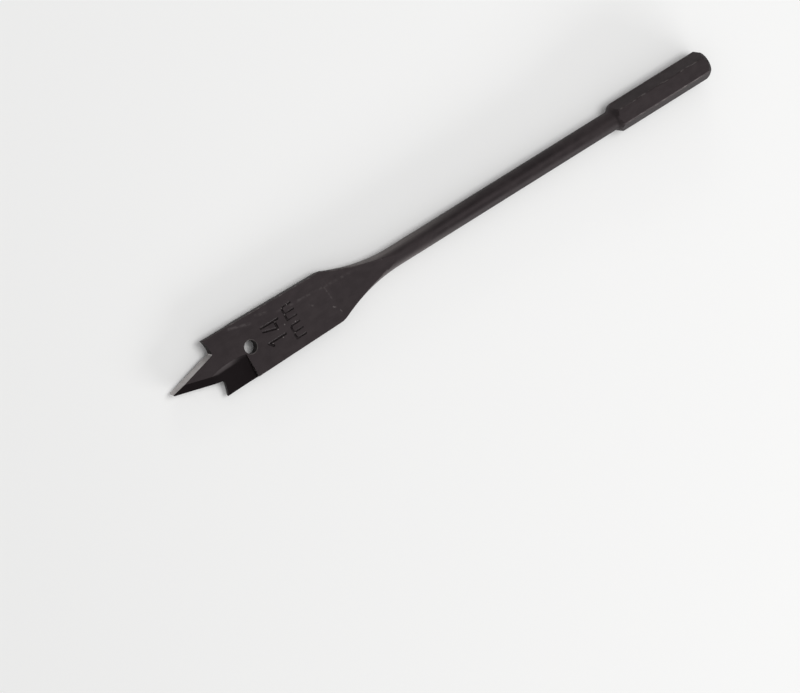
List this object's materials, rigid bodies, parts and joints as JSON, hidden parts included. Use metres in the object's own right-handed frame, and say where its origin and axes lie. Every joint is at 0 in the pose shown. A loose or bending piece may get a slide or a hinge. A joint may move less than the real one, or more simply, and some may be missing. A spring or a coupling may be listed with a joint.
{
  "type": "spade drill bit",
  "caption": "Flat spade drill bit for wood: long centre point, hollow-ground lips with spurs, holed flat blade, slim round shaft and a hexagonal shank.",
  "frame": {"origin": "centre of the shank's butt face, on the axis of the bit", "axes": "+X along the axis towards the point, +Y across the blade, +Z square to the blade's flat face"},
  "size_m": [0.152, 0.014, 0.0064],
  "materials": {
    "blackened_steel": "black oxide, satin, with bare ground cutting edges"
  },
  "bodies": {
    "root": {"spade_bit": "blackened_steel"}
  },
  "joints": []
}
